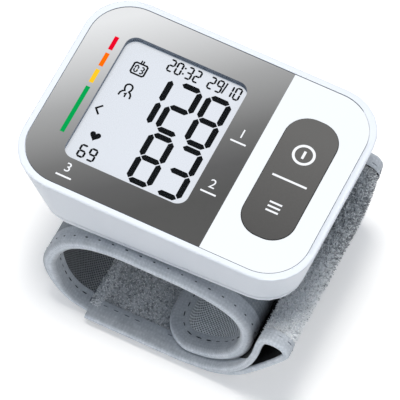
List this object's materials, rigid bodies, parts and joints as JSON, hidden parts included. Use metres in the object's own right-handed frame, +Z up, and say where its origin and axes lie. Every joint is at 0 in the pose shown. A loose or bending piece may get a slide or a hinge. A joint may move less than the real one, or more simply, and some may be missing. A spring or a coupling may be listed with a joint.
{
  "type": "wrist blood pressure monitor",
  "caption": "Landscape wrist blood pressure monitor: slim case with display and rocker key on a rolled cloth cuff whose strap folds back and closes with hook and loop.",
  "frame": {"origin": "on the floor under the middle of the face, at the flat underside of the strap", "axes": "+X along the long side of the case towards the key, +Y to the back, +Z up out of the face"},
  "size_m": [0.0851, 0.0662, 0.0586],
  "materials": {
    "shell_white": "satin white",
    "panel_grey": "printed satin",
    "clear_window": "clear",
    "lcd": "pale display",
    "inner_white": "matt",
    "key_grey": "matt",
    "board_green": "satin",
    "contact_rubber": "matt",
    "chip_black": "matt",
    "steel": "plain",
    "cell_jacket": "satin",
    "silicone": "translucent matt",
    "stiffener": "matt",
    "bladder": "matt",
    "cover_cloth": "woven",
    "lining_cloth": "ribbed weave",
    "binding_tape": "woven tape",
    "pile_cloth": "napped pile",
    "hook_black": "hook tape"
  },
  "bodies": {
    "case": {"upper_case": "shell_white", "rear_cover": "shell_white", "face_panel": "panel_grey", "display_window": "clear_window", "lcd_glass": "lcd", "lcd_frame": "inner_white", "main_board": "board_green", "contact_strip_front": "contact_rubber", "contact_strip_rear": "contact_rubber", "controller_chip": "chip_black", "buzzer": "chip_black", "capacitor": "chip_black", "pressure_sensor": "inner_white", "start_switch": "chip_black", "memory_switch": "chip_black", "pump_motor": "steel", "pump_head": "inner_white", "air_block": "inner_white", "air_valve": "chip_black", "pump_tube": "silicone", "valve_tube": "silicone", "sensor_tube": "silicone", "cuff_tube": "silicone", "cuff_nozzle": "inner_white", "battery_cell_1": "cell_jacket", "battery_cell_2": "cell_jacket", "spring_contact": "steel", "plate_contact": "steel", "bridge_contact": "steel", "case_screw_1": "steel", "case_screw_2": "steel", "case_screw_3": "steel", "case_screw_4": "steel", "cuff_cover": "cover_cloth", "cuff_stiffener": "stiffener", "air_bladder": "bladder", "cuff_lining": "lining_cloth", "cuff_binding": "binding_tape", "flap_hook_pad": "hook_black", "strap_body": "pile_cloth", "strap_binding_front": "binding_tape", "strap_binding_rear": "binding_tape", "tail_hook_pad": "hook_black"},
    "rocker": {"rocker_key": "key_grey"},
    "start_plunger_body": {"start_plunger": "inner_white"},
    "memory_plunger_body": {"memory_plunger": "inner_white"},
    "door": {"battery_door": "shell_white"},
    "tab": {"pull_tab": "binding_tape"}
  },
  "joints": [
    {"name": "rocker_tilt", "type": "hinge", "parent": "case", "child": "rocker", "pos_m": [0.0266, -0.0002, 0.055], "axis": [1, 0, 0], "range_deg": [-1.8, 1.8], "stiffness_Nm_per_rad": 0.2},
    {"name": "start_press", "type": "slide", "parent": "case", "child": "start_plunger_body", "axis": [0, 0, 1], "range_m": [-0.00036, 0.00036]},
    {"name": "memory_press", "type": "slide", "parent": "case", "child": "memory_plunger_body", "axis": [0, 0, 1], "range_m": [-0.00036, 0.00036]},
    {"name": "door_pull", "type": "slide", "parent": "case", "child": "door", "axis": [-1, 0, 0], "range_m": [0, 0.02]},
    {"name": "tab_peel", "type": "hinge", "parent": "case", "child": "tab", "pos_m": [-0.00675, 0, 0], "axis": [0, -1, 0], "range_deg": [0, 60]}
  ],
  "couplings": [
    {"joint": "start_press", "follows": "rocker_tilt", "m_per_rad": 0.011},
    {"joint": "memory_press", "follows": "rocker_tilt", "m_per_rad": -0.011}
  ]
}
